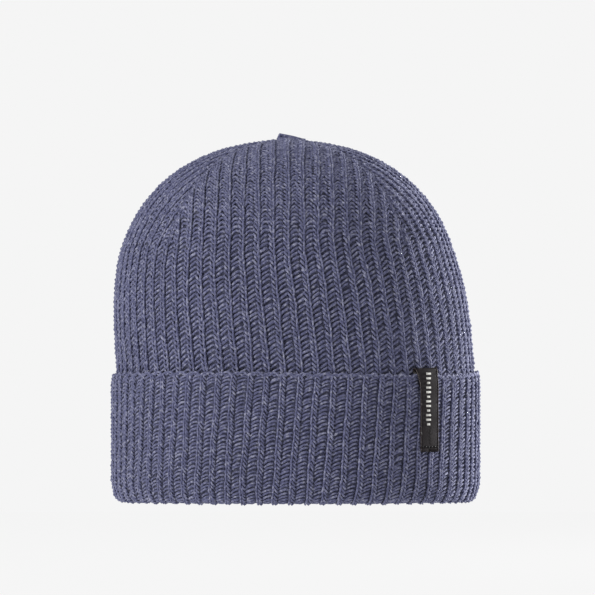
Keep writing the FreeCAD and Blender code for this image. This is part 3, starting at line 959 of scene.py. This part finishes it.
class KNIT_OT_tip(bpy.types.Operator):
    """Draws up the crown's tip"""

    bl_idname = "knit.tip"
    bl_label = "Drawn-up tip"

    def execute(self, context):
        s = sizes()
        rng = np.random.default_rng(SEED + 9)
        crown_top = s.cuff_top + s.crown_rise
        strands = []
        pleats = 16
        for number in range(pleats):
            turn = 2 * math.pi * (number + 0.25 * rng.random()) / pleats
            share = np.linspace(0, 1, 7)
            reach = s.tip_radius * 1.35 * (1 - share) ** 0.8 + 0.0004
            rise = crown_top - 0.0008 + 0.0024 * share**1.6 * (0.75 + 0.4 * rng.random())
            points = turned(reach, turn + 0.9 * share, rise)
            points[:, 0] -= s.lean
            strands.append((points, 1.15 - 0.45 * share))
        turns = np.linspace(0, 2.3 * 2 * math.pi, 26)
        knot = turned(0.0010, turns, crown_top + 0.0008 + 0.00022 * turns / math.pi)
        knot[:, 0] -= s.lean + 0.0002
        strands.append((knot, 0.95))
        # The fastened ends lie over to one side: right to left, then steeply down
        share = np.linspace(0, 1, len(TUFT))
        for number in range(14):
            side, tier = (number // 2 - 3) / 3, 1.0 - 0.5 * (number % 2)
            drift = 0.00012 * rng.standard_normal(2)
            points = np.stack(
                (
                    TUFT[:, 0] * MM * (1 - 0.10 * side**2) - s.lean + drift[0],
                    0.0021 * side * (1 - 0.45 * share) + 0.0005 * np.sin(4 * share + number),
                    crown_top + TUFT[:, 1] * MM * tier - 0.0006 * side**2 + drift[1],
                ),
                axis=-1,
            )
            strands.append((points, 1.0 - 0.30 * share))
        material = yarn_material("crown_yarn")
        new_yarn("tip_gather", "crown", "crown_tip", strands, 0.0007, material)
        return {"FINISHED"}


def strip(name, outline, lay, columns, thickness, material):
    """A tape: outline is its long section, and lay(across, point, share) places a point of it."""
    bm = bmesh.new()
    last = len(outline) - 1
    bmesh.ops.create_grid(bm, x_segments=columns, y_segments=last, size=0.5)
    for vert in bm.verts:
        step = round((vert.co.y + 0.5) * last)
        vert.co = lay(vert.co.x + 0.5, outline[step], step / last)
    bmesh.ops.solidify(bm, geom=bm.faces, thickness=thickness)
    bmesh.ops.recalc_face_normals(bm, faces=bm.faces)
    return mesh_object(name, bm, material)


class KNIT_OT_label(bpy.types.Operator):
    """Sews the looped label tape over the cuff's edge"""

    bl_idname = "knit.label"
    bl_label = "Label tape"

    def execute(self, context):
        s, c = sizes(), colours()
        low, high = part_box("label_tape")
        centre = math.atan2((low.y + high.y) / 2, (low.x + high.x) / 2)
        foot, top = low.z - 0.0006, high.z - 0.0014
        inner, outer = LABEL_RADII
        bend = (outer - inner) / 2
        legs = np.linspace(foot, top - bend, 26)
        turns = np.linspace(0, math.pi, 9)[1:-1]
        outline = [(inner, z) for z in legs]
        outline += [
            (inner + bend - bend * math.cos(t), top - bend + bend * math.sin(t)) for t in turns
        ]
        outline += [(outer, z) for z in legs[::-1]]

        def lay(across, point, share):
            radius, height = point
            side = across - 0.5
            angle = centre + side * LABEL_WIDTH / s.cuff_radius
            loose = 0.00018 * math.sin(share * 40) * abs(side)
            bent = min(max(1 - (top - height) / 0.013, 0.0), 1.0) ** 2
            angle -= (0.0022 - 0.0026 * side) * bent / s.cuff_radius
            skew = 0.0005 * side * bent
            reach = radius + (loose if share > 0.55 else 0.0)
            return Vector((reach * math.cos(angle), reach * math.sin(angle), height + skew))

        material = satin_material("label_satin", c.tape, 0.0, gloss=0.03)
        tape = strip("label_tape_loop", outline, lay, 10, 0.00035, material)
        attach(tape, "cuff")
        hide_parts("label_tape")
        shares = np.linspace(0, 1, len(outline))
        edges = [([lay(side, p, t) for p, t in zip(outline, shares)], 1.0) for side in (0, 1)]
        edging = satin_material("label_selvedge", c.tape_edge, 0.0, gloss=0.03)
        selvedge = new_yarn(
            "label_selvedges", "cuff", None, edges, 0.00022, edging, "label_satin", sides=0
        )
        marks = []
        for number in range(12):
            for row in range(3):
                rise = foot + 0.0131 + 0.0023 * number + 0.00034 * row
                half = 0.0016 if number % 3 else 0.0010
                side = centre + (-0.0011 + np.linspace(-half, half, 7)) / s.cuff_radius
                reach = outer + 0.00022 + 0.00012 * np.sin(np.linspace(0, math.pi, 7))
                marks.append((turned(reach, side, rise), 1.0))
        pale = satin_material("label_thread", c.tag, 0.2)
        woven = new_yarn("label_woven_marks", "cuff", None, marks, 0.00017, pale, None, sides=0)
        thread = satin_material("sewing_thread", c.thread, 0.1, gloss=0.05)
        stitches = []
        for number in range(6):
            start = centre + (number - 2.9) * 0.00215 / s.cuff_radius
            spots = start + np.linspace(0, 0.0017, 5) / s.cuff_radius
            reach = outer + 0.0003 + np.array([-0.0004, 0.0001, 0.00015, 0.0001, -0.0004])
            height = foot + 0.0022 + 0.00015 * math.sin(number * 2.1)
            stitches.append((turned(reach, spots, height), 1.0))
        new_yarn(
            "label_stitches", "cuff", "label_stitching", stitches, 0.00024, thread, "sewing_thread"
        )
        return {"FINISHED"}


class KNIT_OT_care_tag(bpy.types.Operator):
    """Sews the care tag inside the back"""

    bl_idname = "knit.care_tag"
    bl_label = "Care tag"

    def execute(self, context):
        c = colours()
        low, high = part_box("care_tag")
        axis_x, axis_y = frame_joint("care_tag_flip")["pos_m"][:2]
        length = math.hypot(high.x - axis_x, axis_y - low.y) - 0.0006
        turn = -math.radians(14)
        along = np.linspace(0.0002, length, 22)
        outline = [(d, 0.00025 * math.sin(d / length * 5.2)) for d in along]

        def lay(across, point, share):
            d, sway = point
            height = low.z + 0.0001 + across * (high.z - low.z - 0.0002)
            return Vector(
                (
                    axis_x + d * math.cos(turn) - sway * math.sin(turn),
                    axis_y + d * math.sin(turn) + sway * math.cos(turn),
                    height,
                )
            )

        material = satin_material("tag_satin", c.tag, 0.25, threads=12000.0)
        tag = strip("care_tag_satin", outline, lay, 12, 0.0003, material)
        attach(tag, "care_tag")
        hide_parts("care_tag")
        thread = satin_material("tag_thread", c.tag_thread, 0.3)
        stitches = []
        low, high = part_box("tag_stitching")
        count = 4
        pitch = (high.z - low.z) / count
        back = low.y + 0.0003 + np.array([0.0006, 0.0001, 0.0, 0.0, 0.0001, 0.0006])
        for number in range(count):
            rise = low.z + (number + np.linspace(0.08, 0.75, 6)) * pitch
            points = np.stack((np.full(6, (low.x + high.x) / 2), back, rise), axis=-1)
            stitches.append((points, 1.0))
        new_yarn(
            "tag_stitches", "crown", "tag_stitching", stitches, 0.00025, thread, "tag_thread"
        )
        return {"FINISHED"}


def frame_joint(name):
    """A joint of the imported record."""
    for joint in frame["record"]["behaviour"]["joints"]:
        if joint["name"] == name:
            return joint
    raise RuntimeError("the record has no joint named %s" % name)


def aim(made, place, target):
    """Puts a lamp or the camera at a place and points it at the target."""
    made.location = place
    made.rotation_euler = (Vector(target) - Vector(place)).to_track_quat("-Z", "Y").to_euler()
    bpy.context.scene.collection.objects.link(made)


class KNIT_OT_studio(bpy.types.Operator):
    """Sets the floor, the lights and the camera"""

    bl_idname = "knit.studio"
    bl_label = "Studio"

    def execute(self, context):
        st = context.scene.studio_sizes
        scene = context.scene
        scene.view_settings.view_transform = "Standard"
        scene.view_settings.look = "None"
        world = bpy.data.worlds.new("studio_air")
        world.use_nodes = True
        tree = world.node_tree
        seen = add_node(tree, "LightPath", {}).outputs["Is Camera Ray"]
        strength = range_node(tree, seen, 0.0, 1.0, st.fill, 1.0)
        air = {"Color": colour4(st.backdrop), "Strength": strength}
        feed(tree, tree.nodes["Background"], air)
        scene.world = world

        bm = bmesh.new()
        bmesh.ops.create_circle(bm, cap_ends=True, segments=96, radius=2.2)
        data = bpy.data.meshes.new("studio_floor")
        # The hat hangs clear of the floor, so the cuff can come all the way down
        drop = frame_joint("cuff_turn_down")["range_m"][1] + 0.002
        bmesh.ops.translate(bm, verts=bm.verts, vec=(0, 0, -drop))
        bm.to_mesh(data)
        bm.free()
        floor = bpy.data.objects.new("studio_floor", data)
        scene.collection.objects.link(floor)
        paint = bpy.data.materials.new("floor_paint")
        paint.use_nodes = True
        shader = paint.node_tree.nodes["Principled BSDF"]
        matt = {"Base Color": (0.02, 0.02, 0.02, 1), "Roughness": 1.0, "Specular IOR Level": 0.0}
        glow = {"Emission Color": colour4(st.backdrop), "Emission Strength": 0.978}
        feed(paint.node_tree, shader, {**matt, **glow})
        data.materials.append(paint)

        for name, place, size, power in (
            ("key_light", (-1.35, -0.95, 0.5), 0.5, 15.5),
            ("rim_light", (1.15, 0.85, 0.25), 0.35, 49.0),
            ("top_light", (-0.4, 0.2, 1.5), 0.9, 1.0),
        ):
            lamp = bpy.data.lights.new(name, "AREA")
            lamp.size = size
            lamp.energy = power
            aim(bpy.data.objects.new(name, lamp), place, (0, 0, 0.1))

        lens = bpy.data.cameras.new("camera")
        lens.sensor_width = 36.0
        lens.lens = 36.0 * st.camera_distance / st.view_width
        lens.clip_end = 20
        camera = bpy.data.objects.new("camera", lens)
        place = (0.001, -st.camera_distance, st.camera_height)
        aim(camera, place, (0.001, 0, st.aim_height))
        scene.camera = camera
        return {"FINISHED"}


class KNIT_PT_panel(bpy.types.Panel):
    """Lists the pieces of the beanie"""

    bl_idname = "KNIT_PT_panel"
    bl_label = "Rib knit beanie"
    bl_space_type = "VIEW_3D"
    bl_region_type = "UI"
    bl_category = "Beanie"

    def draw(self, context):
        for step in STEPS:
            self.layout.operator(step.bl_idname)


STEPS = (
    KNIT_OT_studio, KNIT_OT_wall, KNIT_OT_gores, KNIT_OT_seams, KNIT_OT_cuff,
    KNIT_OT_edge, KNIT_OT_lining, KNIT_OT_tip, KNIT_OT_label, KNIT_OT_care_tag,
)
SETTINGS = (
    ("hat_sizes", HatSizes),
    ("knit_sizes", KnitSizes),
    ("hat_colours", HatColours),
    ("studio_sizes", StudioSizes),
)


def register():
    for name, group in SETTINGS:
        bpy.utils.register_class(group)
        setattr(bpy.types.Scene, name, PointerProperty(type=group))
    for step in STEPS:
        bpy.utils.register_class(step)
    bpy.utils.register_class(KNIT_PT_panel)


def unregister():
    bpy.utils.unregister_class(KNIT_PT_panel)
    for step in reversed(STEPS):
        bpy.utils.unregister_class(step)
    for name, group in reversed(SETTINGS):
        delattr(bpy.types.Scene, name)
        bpy.utils.unregister_class(group)


def main():
    register()
    for step in STEPS:
        space, call = step.bl_idname.split(".")
        getattr(getattr(bpy.ops, space), call)()


if __name__ == "__main__":
    main()
